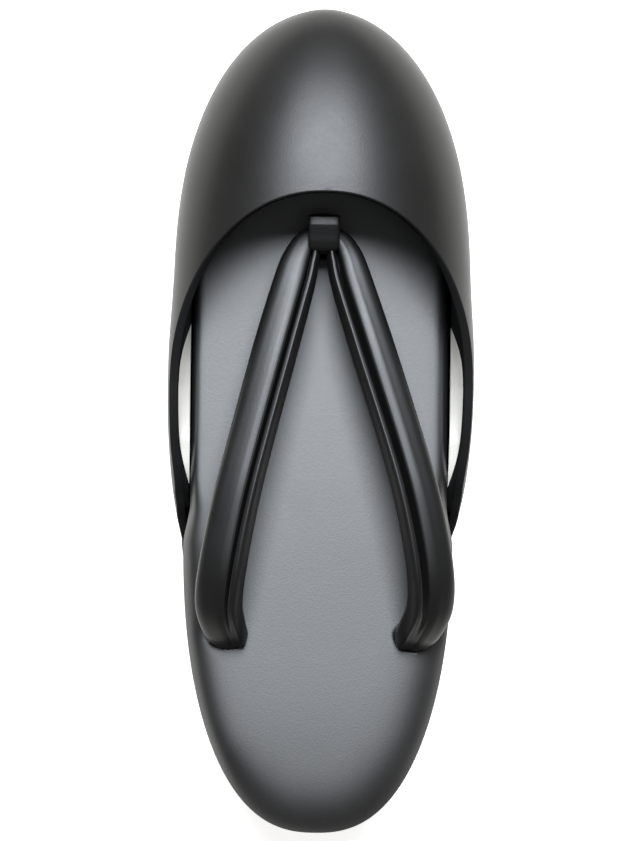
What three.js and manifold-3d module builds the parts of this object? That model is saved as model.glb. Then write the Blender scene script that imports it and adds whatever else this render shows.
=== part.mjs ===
// A zori for wet weather: a platform sole, a thonged strap and a domed cover over the toes.
// Millimetres, +Z up, toe towards +Y. Stations run from the heel end, heights are above the floor.

import * as THREE from 'three';
import { mergeVertices } from 'three/addons/utils/BufferGeometryUtils.js';
import Module from 'manifold-3d';

const wasm = await Module();
wasm.setup();

// Driving sizes
const LENGTH = 245;            // heel end to the lip of the outsole at the toe
const GAP = 0.3;               // clearance between glued pieces
const WELD = 1e-3;             // points closer than this are one vertex
const HEEL_ROUND = 86;         // the heel outline starts to round behind this station
const TOE_ROUND = 165;         // the toe outline starts to round ahead of this station
const HEEL_POWERS = [2.15, 2.45];
const TOE_POWERS = [2.2, 2.1];

// Sole heights
const FOOTBED_FRONT = 29.5;    // top of the footbed at the front end of the ramp
const HEEL_RISE = 14;          // rise of the whole ramp, of which the heel reaches most
const RAMP = [-40, 230];       // stations where the rise ends, behind the heel, and starts
const FOOTBED_THICK = 9;
const OUTSOLE_THICK = 4;
const HEEL_BEVEL = { length: 10, rise: 1.2 };
const ARCH = { start: 85, end: 128, rise: 2.5 };
const SPRING = { start: 195, rise: 7, footbed: 3, power: 1.8 };

// Toe cover
const WALL = 2.6;
const THROAT = { centre: 133, reach: 55.3, half: 44.7, power: 2.15 };   // plan outline of the mouth
const COVER_TOE = 244.2;
const CROWN_START = 150;       // the crown starts to fall ahead of this station
const CROWN_POWERS = [2, 5];
const DOME_POWER = 2.3;        // fullness of the cover across the foot
const RIM_HALF = 40.7;         // half width of the rim that is glued to the sole

// Half widths and ends of the layers of the sole: rear is behind the cover, front is inside it
// and the change is between the stations of waist
const OUTSOLE = { heel: 0.8, toe: LENGTH, rear: 39.4, front: 41, waist: [70, 85] };
const SOLE = { heel: 0.6, toe: 240.2, rear: 39.2, front: 37.6, waist: [70, 85] };
const FOOTBED = { heel: 0, toe: 237, rear: 40.2, front: 38.3, waist: [84, 97] };

// Sections of the toe cover. wide: half width at the widest height wideZ. rise: crown above wideZ.
// cut: how far up the side the wall goes, where 1 is the crown, 0 the widest height and -1 the rim.
const COVER_SECTIONS = [
  { y: 86, wide: 41.2, wideZ: 15, rise: 10, cut: -0.6 },
  { y: 92, wide: 42.2, wideZ: 19.5, rise: 13, cut: -0.02 },
  { y: 100, wide: 43.5, wideZ: 25.5, rise: 16, cut: 0.115 },
  { y: 115, wide: 44.9, wideZ: 33.5, rise: 21, cut: 0.11 },
  { y: 140, wide: 45.3, wideZ: 37.5, rise: 29, cut: 0.11 },
  { y: 165, wide: 44, wideZ: 36, rise: 33, cut: 0.11 },
  { y: 205, wide: 43.8, wideZ: 31, rise: 37, cut: 0.11 },
  { y: COVER_TOE, wide: 43.8, wideZ: 25, rise: 37, cut: 0.11 },
];

// Rings of the rolled edge of the footbed, from its underside to the top: inset from the outline, drop
const FOOTBED_EDGE = [
  { inset: 2, drop: FOOTBED_THICK },
  { inset: 0.4, drop: 7.6 },
  { inset: 0, drop: 5.6 },
  { inset: 0.7, drop: 3.3 },
  { inset: 2.4, drop: 1.5 },
  { inset: 5, drop: 0.5 },
  { inset: 8.5, drop: 0.1 },
  { inset: 14, drop: 0 },
];

// Strap: stations of one band from the toe to its hole. spread: distance from the middle line.
// lean: how far the slack strap sits to the right. tilt: how far the outer edge dips, in degrees.
const STRAP = [
  { y: 178, spread: -0.6, lean: 0.15, z: 42.2, width: 4.8, thick: 5, tilt: 0 },
  { y: 174.4, spread: 4.3, lean: 0, z: 43, width: 8.2, thick: 6, tilt: 0 },
  { y: 170, spread: 6.4, lean: 0, z: 44, width: 10.8, thick: 6.6, tilt: 0 },
  { y: 162.5, spread: 8.5, lean: 0, z: 45.8, width: 12.4, thick: 7, tilt: 2 },
  { y: 143, spread: 14.3, lean: 0.5, z: 50.3, width: 13.3, thick: 7, tilt: 7 },
  { y: 116, spread: 22.1, lean: 1.4, z: 54.3, width: 13.4, thick: 7, tilt: 11 },
  { y: 98, spread: 26.8, lean: 1.8, z: 56, width: 13.8, thick: 7, tilt: 14 },
  { y: 80, spread: 30.2, lean: 1.9, z: 55.4, width: 14.2, thick: 7, tilt: 18 },
  { y: 68.5, spread: 31, lean: 1.6, z: 51.4, width: 14.2, thick: 7.4, tilt: 18 },
  { y: 61.4, spread: 29, lean: 1.2, z: 45.8, width: 13, thick: 8, tilt: 8 },
  { y: 58.5, spread: 27.2, lean: 1.1, z: 40.3, width: 11, thick: 8, tilt: 0 },
  { y: 57.7, spread: 26.4, lean: 1.1, z: 34.4, width: 9.5, thick: 7.5, tilt: 0 },
];
const STRAP_STEPS = { right: 34, left: 33 };   // uneven, so that no edges meet where the bands cross

// Outline of a band across its run, as shares of its half width and half thickness.
// The notch is the sewn groove between the wide outer roll and the narrow inner one.
const BAND_OUTLINE = [
  [1, -0.1], [0.93, 0.45], [0.62, 0.85], [0.15, 1], [-0.22, 0.88], [-0.37, 0.4], [-0.52, 0.86],
  [-0.78, 0.9], [-0.97, 0.5], [-1, -0.15], [-0.85, -0.75], [-0.3, -1], [0.3, -1], [0.85, -0.75],
];
const GROOVE_POINT = 5;        // place of the bottom of the groove in that outline

// Toe post: the loop's outline seen from the side, station and height, and its width
const TOE_POST = { width: 9, rear: 171.2, front: 182.4, foot: 24.5, neck: 38, top: 49.4, fall: 1.4, round: 2 };

const BLACK = 0x1b1c1f;
const leatherette = new THREE.MeshStandardMaterial({ color: BLACK, roughness: 0.42, metalness: 0 });
const footbedSkin = new THREE.MeshStandardMaterial({ color: 0x2a2b2e, roughness: 0.5, metalness: 0 });
const rubber = new THREE.MeshStandardMaterial({ color: 0x161617, roughness: 0.75, metalness: 0 });

const { clamp, lerp, smoothstep, degToRad } = THREE.MathUtils;

// Quarter of a superellipse: 1 up to share 0, falling to 0 at share 1
function roundOff(share, [along, across]) {
  const s = clamp(share, 0, 1);
  return Math.pow(1 - Math.pow(s, along), 1 / across);
}

// Stations spaced so that a rounded end gets even steps
function roundedStations(start, end, steps, power) {
  const stations = [];
  for (let i = 1; i <= steps; i++) {
    const angle = (i / steps) * Math.PI / 2;
    stations.push(start + (end - start) * Math.pow(Math.sin(angle), 2 / power));
  }
  return stations;
}

// Height of the underside above the floor
function groundAt(y) {
  const bevel = clamp((HEEL_BEVEL.length - y) / HEEL_BEVEL.length, 0, 1);
  const arch = clamp((y - ARCH.start) / (ARCH.end - ARCH.start), 0, 1);
  const spring = clamp((y - SPRING.start) / (LENGTH - SPRING.start), 0, 1);
  return HEEL_BEVEL.rise * bevel ** 2
    + ARCH.rise * Math.sin(Math.PI * arch) ** 2
    + SPRING.rise * spring ** SPRING.power;
}

// Height of the footbed's top
function footbedAt(y) {
  const spring = clamp((y - SPRING.start) / (LENGTH - SPRING.start), 0, 1);
  const climb = 1 - smoothstep(y, RAMP[0], RAMP[1]);
  return FOOTBED_FRONT + HEEL_RISE * climb + SPRING.footbed * spring ** SPRING.power;
}

// Half width of a layer of the sole
function halfWidth(layer, y) {
  const side = lerp(layer.rear, layer.front, smoothstep(y, ...layer.waist));
  const heel = roundOff((HEEL_ROUND - y) / (HEEL_ROUND - layer.heel), HEEL_POWERS);
  const toe = roundOff((y - TOE_ROUND) / (layer.toe - TOE_ROUND), TOE_POWERS);
  return side * heel * toe;
}

// Right-hand outline of a layer from heel to toe, moved inwards by an inset
function outline(layer, inset) {
  const heelEnd = roundedStations(HEEL_ROUND, layer.heel, 9, HEEL_POWERS[0]).reverse();
  const toeEnd = roundedStations(TOE_ROUND, layer.toe, 10, TOE_POWERS[0]);
  const waist = [HEEL_ROUND, 91, 96, 101, 106.5, 112, 117, 122, 128, 140, 152, TOE_ROUND];
  const stations = [...heelEnd, ...waist, ...toeEnd];
  const edge = stations.map((y) => new THREE.Vector2(halfWidth(layer, y), y));
  return edge.map((point, i) => {
    const before = edge[i - 1] ?? new THREE.Vector2(-edge[1].x, edge[1].y);
    const last = edge.length - 2;
    const after = edge[i + 1] ?? new THREE.Vector2(-edge[last].x, edge[last].y);
    const run = after.clone().sub(before).normalize();
    return new THREE.Vector2(point.x - inset * run.y, point.y + inset * run.x);
  });
}

// Triangles of a strip of quads between two rows of points
function addStrip(triangles, lower, upper) {
  for (let i = 0; i + 1 < lower.length; i++) {
    triangles.push(lower[i], lower[i + 1], upper[i + 1]);
    triangles.push(lower[i], upper[i + 1], upper[i]);
  }
}

// Geometry with its shared vertices merged, without the triangles that this closes
function weld(geometry) {
  const welded = mergeVertices(geometry, WELD);
  const index = welded.index.array;
  const kept = [];
  for (let i = 0; i < index.length; i += 3) {
    const [a, b, c] = [index[i], index[i + 1], index[i + 2]];
    if (a !== b && b !== c && c !== a) kept.push(a, b, c);
  }
  welded.setIndex(kept);
  return welded;
}

function fromTriangles(corners) {
  return weld(new THREE.BufferGeometry().setFromPoints(corners));
}

// Solid of stacked rings on one outline, closed by ladders of quads from side to side
function slab(layer, rings) {
  const rightSides = rings.map(({ inset, height }) =>
    outline(layer, inset).map((p) => new THREE.Vector3(Math.max(p.x, 0), p.y, height(p.y))));
  const mirrored = (points) => points.map((p) => new THREE.Vector3(-p.x, p.y, p.z));
  const leftSides = rightSides.map(mirrored);
  const triangles = [];
  for (let k = 0; k + 1 < rings.length; k++) {
    addStrip(triangles, rightSides[k], rightSides[k + 1]);
    addStrip(triangles, leftSides[k + 1], leftSides[k]);
  }
  const top = rings.length - 1;
  addStrip(triangles, rightSides[top], leftSides[top]);
  addStrip(triangles, leftSides[0], rightSides[0]);
  return fromTriangles(triangles);
}

// Shell of even thickness under an open surface, closed along every free edge
function thicken(surface, wall) {
  surface.computeVertexNormals();
  const position = surface.attributes.position;
  const normal = surface.attributes.normal;
  const count = position.count;
  const points = [];
  for (let i = 0; i < count; i++) {
    points.push(new THREE.Vector3().fromBufferAttribute(position, i));
  }
  for (let i = 0; i < count; i++) {
    const inward = new THREE.Vector3().fromBufferAttribute(normal, i).multiplyScalar(-wall);
    points.push(points[i].clone().add(inward));
  }
  const index = surface.index.array;
  const faces = [];
  const edges = new Map();
  for (let i = 0; i < index.length; i += 3) {
    const corner = [index[i], index[i + 1], index[i + 2]];
    faces.push(...corner, corner[2] + count, corner[1] + count, corner[0] + count);
    corner.forEach((from, k) => {
      const to = corner[(k + 1) % 3];
      const twin = `${to},${from}`;
      if (!edges.delete(twin)) edges.set(`${from},${to}`, [from, to]);
    });
  }
  for (const [from, to] of edges.values()) {
    faces.push(to, from, from + count, to, from + count, to + count);
  }
  const shell = new THREE.BufferGeometry().setFromPoints(points);
  shell.setIndex(faces);
  return shell;
}

// Solid for a join or a cut
function toSolid(geometry) {
  const bare = geometry.clone();
  bare.deleteAttribute('normal');
  bare.deleteAttribute('uv');
  const welded = weld(bare);
  return new wasm.Manifold(new wasm.Mesh({
    numProp: 3,
    vertProperties: new Float32Array(welded.attributes.position.array),
    triVerts: new Uint32Array(welded.index.array),
  }));
}

function toGeometry(solid) {
  const mesh = solid.getMesh();
  const geometry = new THREE.BufferGeometry();
  geometry.setAttribute('position', new THREE.BufferAttribute(mesh.vertProperties, 3));
  geometry.setIndex(new THREE.BufferAttribute(mesh.triVerts, 1));
  return weld(geometry);
}

// Columns of the cover's table as smooth functions of the station
const coverTable = new THREE.CubicInterpolant(
  COVER_SECTIONS.map((row) => row.y),
  COVER_SECTIONS.flatMap((row) => [row.wide, row.wideZ, row.rise, row.cut]),
  4,
);

// How far up the side the cover's wall goes at a station
function coverCut(y, wide, tableCut) {
  if (y >= THROAT.centre + THROAT.reach) return 1;
  if (y <= THROAT.centre) return tableCut;
  const share = (y - THROAT.centre) / THROAT.reach;
  const edge = THROAT.half * Math.pow(1 - share ** 2, 1 / THROAT.power);
  return Math.acos(Math.pow(edge / wide, DOME_POWER / 2)) / (Math.PI / 2);
}

// Sizes of the cover's section at a station
function coverSection(y) {
  const [tableWide, wideZ, tableRise, tableCut] = coverTable.evaluate(y);
  const toeShare = (y - TOE_ROUND) / (COVER_TOE - TOE_ROUND);
  const wide = tableWide * roundOff(toeShare, TOE_POWERS);
  const rise = tableRise * roundOff((y - CROWN_START) / (COVER_TOE - CROWN_START), CROWN_POWERS);
  const rim = RIM_HALF * roundOff(toeShare, TOE_POWERS);
  const rimZ = groundAt(y) + OUTSOLE_THICK + GAP;
  return { y, wide, wideZ, rise, rim, rimZ, cut: coverCut(y, wide, tableCut) };
}

// Point of the cover's outside: up is 1 at the crown, 0 at the widest height and -1 at the rim
function coverPoint(section, up, side) {
  const { y, wide, wideZ, rise, rim, rimZ } = section;
  if (up >= 0) {
    const angle = up * Math.PI / 2;
    const x = up >= 1 ? 0 : wide * Math.pow(Math.cos(angle), 2 / DOME_POWER);
    return new THREE.Vector3(side * x, y, wideZ + rise * Math.pow(Math.sin(angle), 2 / DOME_POWER));
  }
  return new THREE.Vector3(side * (wide + (rim - wide) * up ** 2), y, wideZ + (wideZ - rimZ) * up);
}

// Domed cover over the toes with a wing along each side, one wall open at the mouth and underneath
function makeToeCover() {
  const wings = [86, 88.5, 91, 94, 97, 101, 106, 112, 119, 126, THROAT.centre];
  const mouth = roundedStations(THROAT.centre, THROAT.centre + THROAT.reach, 9, 2);
  const dome = roundedStations(TOE_ROUND, COVER_TOE, 14, TOE_POWERS[0]);
  const mouthEnd = mouth[mouth.length - 1];
  const stations = [...wings, ...mouth, ...dome.filter((y) => y > mouthEnd + 3)];
  const upperSteps = 9;
  const lowerSteps = 4;
  const triangles = [];
  for (const side of [-1, 1]) {
    const columns = stations.map((y) => {
      const section = coverSection(y);
      const column = [];
      const widest = Math.min(section.cut, 0);
      for (let j = 0; j <= upperSteps; j++) {
        column.push(coverPoint(section, lerp(section.cut, widest, j / upperSteps), side));
      }
      for (let j = 1; j <= lowerSteps; j++) {
        column.push(coverPoint(section, lerp(widest, -1, j / lowerSteps), side));
      }
      return column;
    });
    for (let i = 0; i + 1 < columns.length; i++) {
      if (side > 0) addStrip(triangles, columns[i], columns[i + 1]);
      else addStrip(triangles, columns[i + 1], columns[i]);
    }
  }
  return thicken(fromTriangles(triangles), WALL);
}

// One band of the strap on a side. With a clearance it is the space that the band needs, with no groove.
function bandGeometry(side, clearance) {
  const bandOutline = BAND_OUTLINE.filter((point, k) => clearance === 0 || k !== GROOVE_POINT);
  const path = new THREE.CatmullRomCurve3(STRAP.map((row) =>
    new THREE.Vector3(side * row.spread + row.lean, row.y, row.z)));
  const steps = side > 0 ? STRAP_STEPS.right : STRAP_STEPS.left;
  const rings = [];
  for (let i = 0; i <= steps; i++) {
    const share = i / steps;
    const at = share * (STRAP.length - 1);
    const row = STRAP[Math.min(Math.floor(at), STRAP.length - 2)];
    const next = STRAP[STRAP.indexOf(row) + 1];
    const part = at - STRAP.indexOf(row);
    const size = (column) => lerp(row[column], next[column], part);
    const centre = path.getPoint(share);
    const run = path.getTangent(share);
    if (i === 0) centre.addScaledVector(run, -clearance);
    if (i === steps) centre.addScaledVector(run, clearance);
    const across = new THREE.Vector3(side, 0, 0);
    across.addScaledVector(run, -across.dot(run)).normalize();
    const up = new THREE.Vector3().crossVectors(run, across).multiplyScalar(side);
    const dip = degToRad(size('tilt'));
    const outward = across.clone().multiplyScalar(Math.cos(dip)).addScaledVector(up, -Math.sin(dip));
    const upward = up.clone().multiplyScalar(Math.cos(dip)).addScaledVector(across, Math.sin(dip));
    rings.push(bandOutline.map(([s, u]) => centre.clone()
      .addScaledVector(outward, s * (size('width') / 2 + clearance))
      .addScaledVector(upward, u * (size('thick') / 2 + clearance))));
  }
  const triangles = [];
  const closed = (ring) => [...ring, ring[0]];
  for (let i = 0; i < steps; i++) {
    addStrip(triangles, closed(rings[i]), closed(rings[i + 1]));
  }
  const fan = (ring, flip) => {
    const middle = ring.reduce((sum, p) => sum.add(p), new THREE.Vector3()).divideScalar(ring.length);
    closed(ring).slice(0, -1).forEach((p, k) => {
      const q = closed(ring)[k + 1];
      triangles.push(...(flip ? [q, p, middle] : [p, q, middle]));
    });
  };
  fan(rings[0], true);
  fan(rings[steps], false);
  if (side < 0) {
    for (let i = 0; i < triangles.length; i += 3) {
      [triangles[i], triangles[i + 1]] = [triangles[i + 1], triangles[i]];
    }
  }
  return fromTriangles(triangles);
}

// Both bands joined at the toe
function strapSolid(clearance) {
  return toSolid(bandGeometry(1, clearance)).add(toSolid(bandGeometry(-1, clearance)));
}

// Strip that stands in the front hole and loops over the joined bands
function toePostGeometry(clearance) {
  const { rear, front, foot, neck, top, fall, round } = TOE_POST;
  const shape = new THREE.Shape();
  shape.moveTo(rear + 3 - clearance, foot - clearance);
  shape.lineTo(front - 1 + clearance, foot - clearance);
  shape.lineTo(front - 0.6 + clearance, neck);
  shape.lineTo(front + clearance, top - round);
  shape.absarc(front - round, top - round, round + clearance, 0, Math.PI / 2, false);
  shape.lineTo(rear + round, top - fall + clearance);
  shape.absarc(rear + round, top - fall - round, round + clearance, Math.PI / 2, Math.PI, false);
  shape.lineTo(rear + 2.4 - clearance, neck);
  const depth = TOE_POST.width + 2 * clearance;
  const geometry = new THREE.ExtrudeGeometry(shape, { depth, bevelEnabled: false, curveSegments: 5 });
  geometry.translate(0, 0, -depth / 2);
  geometry.applyMatrix4(new THREE.Matrix4().makeBasis(
    new THREE.Vector3(0, 1, 0), new THREE.Vector3(0, 0, 1), new THREE.Vector3(1, 0, 0)));
  return geometry;
}

const outsole = slab(OUTSOLE, [
  { inset: 1, height: groundAt },
  { inset: 0, height: (y) => groundAt(y) + 1.2 },
  { inset: 0, height: (y) => groundAt(y) + OUTSOLE_THICK - 0.6 },
  { inset: 0.6, height: (y) => groundAt(y) + OUTSOLE_THICK },
]);

const sole = slab(SOLE, [
  { inset: 1.2, height: (y) => groundAt(y) + OUTSOLE_THICK + GAP },
  { inset: 0, height: (y) => lerp(groundAt(y) + OUTSOLE_THICK, footbedAt(y) - FOOTBED_THICK, 0.5) },
  { inset: 0.8, height: (y) => footbedAt(y) - FOOTBED_THICK - GAP },
]);

const holes = strapSolid(GAP).add(toSolid(toePostGeometry(GAP)));
const footbedRings = FOOTBED_EDGE.map(({ inset, drop }) => ({
  inset,
  height: (y) => footbedAt(y) - drop,
}));
const footbed = toGeometry(toSolid(slab(FOOTBED, footbedRings)).subtract(holes));

const strap = toGeometry(strapSolid(0));
const toePost = toGeometry(toSolid(toePostGeometry(0)).subtract(strapSolid(GAP)));

// The origin is on the floor under the middle of the length
const zori = new THREE.Group();
zori.position.y = -LENGTH / 2;

function addPiece(name, geometry, material) {
  const mesh = new THREE.Mesh(geometry, material);
  mesh.name = name;
  zori.add(mesh);
}

addPiece('outsole', outsole, rubber);
addPiece('sole', sole, leatherette);
addPiece('footbed', footbed, footbedSkin);
addPiece('toe_cover', makeToeCover(), leatherette);
addPiece('strap', strap, leatherette);
addPiece('toe_post', toePost, leatherette);

export default zori;
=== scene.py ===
# %% [markdown]
# # A zori with a toe cover
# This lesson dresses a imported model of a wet-weather zori: a platform sole, a padded footbed, a strap
# with a toe loop, and a domed cover that keeps rain off the toes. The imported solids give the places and
# sizes, and each visible piece is made again here as a smooth mesh with its own finish.

import math

import bmesh
import bpy
import numpy as np
from mathutils import Matrix, Vector


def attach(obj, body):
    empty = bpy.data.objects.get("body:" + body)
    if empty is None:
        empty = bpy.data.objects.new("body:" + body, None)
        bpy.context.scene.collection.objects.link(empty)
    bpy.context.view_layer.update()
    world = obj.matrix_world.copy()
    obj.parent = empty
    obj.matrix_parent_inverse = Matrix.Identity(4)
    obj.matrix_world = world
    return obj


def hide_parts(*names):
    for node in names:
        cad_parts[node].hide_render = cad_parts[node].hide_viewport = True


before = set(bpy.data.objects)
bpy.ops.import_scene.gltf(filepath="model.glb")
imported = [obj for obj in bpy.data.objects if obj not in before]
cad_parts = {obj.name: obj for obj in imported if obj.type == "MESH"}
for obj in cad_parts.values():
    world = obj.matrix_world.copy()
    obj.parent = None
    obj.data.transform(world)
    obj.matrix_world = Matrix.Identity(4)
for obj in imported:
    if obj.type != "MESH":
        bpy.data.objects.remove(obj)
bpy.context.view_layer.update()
print("solids:", ", ".join(sorted(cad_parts)))

# %% [markdown]
# ## Sizes
# A shoe is drawn as stations along its length, so every curve below is a function of the distance from
# the heel end, in millimetres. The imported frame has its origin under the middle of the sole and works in
# metres, and one helper changes from the first to the second. Typing the sizes in millimetres keeps them
# easy to compare with a ruler.

# %% Sizes of the sole
MM = 0.001
RIGHT, LEFT = 1.0, -1.0
LENGTH = 245.0
HEEL_ROUND, HEEL_POWERS = 86.0, (2.15, 2.45)
TOE_ROUND, TOE_POWERS = 165.0, (2.2, 2.1)
FOOTBED_FRONT, HEEL_RISE, RAMP = 29.5, 14.0, (-40.0, 230.0)
FOOTBED_THICK, OUTSOLE_THICK, GAP = 9.0, 4.0, 0.3
HEEL_BEVEL_LENGTH, HEEL_BEVEL_RISE = 10.0, 1.2
ARCH_START, ARCH_END, ARCH_RISE = 85.0, 128.0, 2.5
SPRING_START, SPRING_RISE, SPRING_FOOTBED, SPRING_POWER = 195.0, 7.0, 3.0, 1.8

# Stations of each layer's ends, half widths behind and before the waist, and where the waist is
OUTSOLE = {"heel": 0.8, "toe": 245.0, "rear": 39.4, "front": 41.0, "waist": (70.0, 85.0)}
SOLE = {"heel": 0.6, "toe": 240.2, "rear": 39.2, "front": 37.6, "waist": (70.0, 85.0)}
FOOTBED = {"heel": 0.0, "toe": 237.0, "rear": 40.2, "front": 38.3, "waist": (84.0, 97.0)}


# %% Curves between two values
def share_between(low, high, value):
    """How far a value is on the way from low to high, from 0 to 1."""
    return np.clip((value - low) / (high - low), 0.0, 1.0)


def smoothstep(low, high, value):
    """The same share with a gentle start and end."""
    share = share_between(low, high, value)
    return share * share * (3.0 - 2.0 * share)


def round_off(share, powers):
    """Quarter of a superellipse: 1 up to share 0, falling to 0 at share 1."""
    share = np.clip(share, 0.0, 1.0)
    return (1.0 - share ** powers[0]) ** (1.0 / powers[1])


print("halfway up a smooth step: %.2f" % smoothstep(0.0, 1.0, 0.5))


# %% Heights and widths along the shoe
def toe_spring(y):
    """Share of the lift that the front of the sole has."""
    return share_between(SPRING_START, LENGTH, y) ** SPRING_POWER


def ground_at(y):
    """Height of the outsole's underside: bevelled heel, low arch and toe spring."""
    bevel = share_between(HEEL_BEVEL_LENGTH, 0.0, y)
    arch = share_between(ARCH_START, ARCH_END, y)
    lift = HEEL_BEVEL_RISE * bevel ** 2 + SPRING_RISE * toe_spring(y)
    return lift + ARCH_RISE * np.sin(np.pi * arch) ** 2


def footbed_at(y):
    """Height of the footbed's top, from the raised heel down to the front."""
    climb = 1.0 - smoothstep(*RAMP, y)
    return FOOTBED_FRONT + HEEL_RISE * climb + SPRING_FOOTBED * toe_spring(y)


def half_width(layer, y):
    """Half the width of a layer, with its waist and its rounded ends."""
    side = layer["rear"] + (layer["front"] - layer["rear"]) * smoothstep(*layer["waist"], y)
    heel = round_off((HEEL_ROUND - y) / (HEEL_ROUND - layer["heel"]), HEEL_POWERS)
    toe = round_off((y - TOE_ROUND) / (layer["toe"] - TOE_ROUND), TOE_POWERS)
    return side * heel * toe


def to_frame(points):
    """Millimetres from the heel end to the frame's metres from the middle."""
    return (np.asarray(points, float) - (0.0, LENGTH / 2.0, 0.0)) * MM


print("footbed %.1f mm high at the heel, %.1f mm at the toe" % (footbed_at(0.0), footbed_at(LENGTH)))

# %% [markdown]
# ## Camera
# The photo looks straight down on the shoe from about a metre above the footbed, from a point a little to
# the left of its middle line. A long lens from that place gives the same slight view of the left side. The
# camera is aimed at the middle of the shoe, so no lens shift is needed, and it is rolled by the small turn
# that the shoe has in the picture.

# %% Place the camera
EYE = (-27.0, LENGTH / 2.0 - 0.8, 1030.0)
AIM = (0.1, LENGTH / 2.0 - 0.4, FOOTBED_FRONT)
VIEW_HEIGHT = 251.2
SENSOR = 36.0
ROLL = math.radians(0.82)


def in_scene(name, data):
    """A new object that holds the data, linked to the scene."""
    made = bpy.data.objects.new(name, data)
    bpy.context.collection.objects.link(made)
    return made


camera = in_scene("camera", bpy.data.cameras.new("camera"))
eye = Vector(to_frame(EYE))
aim = Vector(to_frame(AIM))
back = (eye - aim).normalized()
up = Vector((-math.sin(ROLL), math.cos(ROLL), 0.0))
right = up.cross(back).normalized()
turn = Matrix((right, back.cross(right), back)).transposed()
camera.matrix_world = Matrix.Translation(eye) @ turn.to_4x4()
camera.data.sensor_width = SENSOR
camera.data.lens = SENSOR * (eye - aim).length / (VIEW_HEIGHT * MM)
bpy.context.scene.camera = camera
print("lens %.1f mm" % camera.data.lens)

# %% [markdown]
# ## Shader sums as Python
# Materials below are written as sums and products. One small class wraps a socket so that `1 - mask`
# makes a Math node, and one method of the finish adds any other node with its settings and inputs. The
# nodes could be placed by hand, but a finish that is written out reads like a recipe.


# %% A socket that can be used in sums
class Wire:
    """An output socket of a finish's node tree."""

    def __init__(self, finish, socket):
        self.finish = finish
        self.socket = socket

    def combined(self, operation, first, second):
        made = self.finish.add("ShaderNodeMath", {"operation": operation}, {0: first, 1: second})
        return made("Value")

    def __add__(self, other):
        return self.combined("ADD", self, other)

    def __radd__(self, other):
        return self.combined("ADD", other, self)

    def __sub__(self, other):
        return self.combined("SUBTRACT", self, other)

    def __rsub__(self, other):
        return self.combined("SUBTRACT", other, self)

    def __mul__(self, other):
        return self.combined("MULTIPLY", self, other)

    def __rmul__(self, other):
        return self.combined("MULTIPLY", other, self)


print("sockets can be added, subtracted and multiplied")

# %% A material made node by node
# Numbers of the sockets of a Mix node that mixes colours
MIX_FACTOR, MIX_FIRST, MIX_SECOND, MIX_RESULT = 0, 6, 7, 2


class Finish:
    """A material whose nodes are added by type, with their settings and inputs."""

    def __init__(self, name):
        self.material = bpy.data.materials.new(name)
        self.material.use_nodes = True
        self.tree = self.material.node_tree
        self.shader = self.tree.nodes["Principled BSDF"]

    def connect(self, target, value):
        if isinstance(value, Wire):
            self.tree.links.new(value.socket, target)
        else:
            target.default_value = value

    def add(self, kind, settings, inputs):
        """Adds a node and returns a function that gives its outputs by name or number."""
        node = self.tree.nodes.new(kind)
        for key, value in settings.items():
            setattr(node, key, value)
        for key, value in inputs.items():
            self.connect(node.inputs[key], value)
        return lambda output: Wire(self, node.outputs[output])

    def surface(self, **sockets):
        """Sets the shader's sockets, whose names have _ for each space."""
        for name, value in sockets.items():
            self.connect(self.shader.inputs[name.replace("_", " ")], value)

    def coordinates(self):
        return self.add("ShaderNodeTexCoord", {}, {})("Object")

    def noise(self, vector, scale, detail=3.0):
        made = self.add("ShaderNodeTexNoise", {}, {"Vector": vector, "Scale": scale, "Detail": detail})
        return made("Fac")

    def cells(self, vector, scale):
        return self.add("ShaderNodeTexVoronoi", {}, {"Vector": vector, "Scale": scale})("Distance")

    def bump(self, height, strength, depth):
        made = self.add("ShaderNodeBump", {}, {"Height": height, "Strength": strength, "Distance": depth})
        return made("Normal")

    def mix(self, factor, first, second):
        made = self.add("ShaderNodeMix", {"data_type": "RGBA"}, {
            MIX_FACTOR: factor, MIX_FIRST: first, MIX_SECOND: second})
        return made(MIX_RESULT)


print("shader helpers ready")

# %% [markdown]
# ## Leatherette
# The whole shoe is covered in black leatherette with a satin finish. Close up it has a fine pebble grain,
# less than a millimetre across, and it is a little glossier in some places than in others. A scanned
# texture would need a map of every piece, so the grain is worked out from the place in space instead, and
# has no seams. The footbed, the cover, the strap and the sole are cut from different rolls, so one
# function makes all four with their own colour, gloss and grain.

# %% Leatherette recipe
# Sizes of the patterns, as repeats in a metre
PEBBLE, FIBRE, CLOUD = 1700.0, 765.0, 55.0
# Parts of the grain's height, change of gloss by the fibres, and depth of the grain in metres
PEBBLE_PART, FIBRE_PART, FIBRE_SPREAD, GRAIN_DEPTH = 0.7, 0.6, 0.05, 0.00012
NOISE_MEAN = 0.5


def swing(noise, spread):
    """Noise as a change about zero."""
    return (noise - NOISE_MEAN) * spread


def leatherette(name, colour, pale_colour, roughness, spread, grain, shine):
    finish = Finish(name)
    place = finish.coordinates()
    pebble = finish.cells(place, PEBBLE)
    fibre = finish.noise(place, FIBRE)
    cloud = finish.noise(place, CLOUD, detail=4.0)
    finish.surface(
        Base_Color=finish.mix(cloud, colour, pale_colour),
        Roughness=roughness + swing(cloud, spread) + swing(fibre, FIBRE_SPREAD),
        Normal=finish.bump(pebble * PEBBLE_PART + fibre * FIBRE_PART, grain, GRAIN_DEPTH),
        Specular_IOR_Level=shine,
    )
    return finish.material


print("pebbles of about %.1f mm" % (1.0 / (PEBBLE * MM)))

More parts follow.
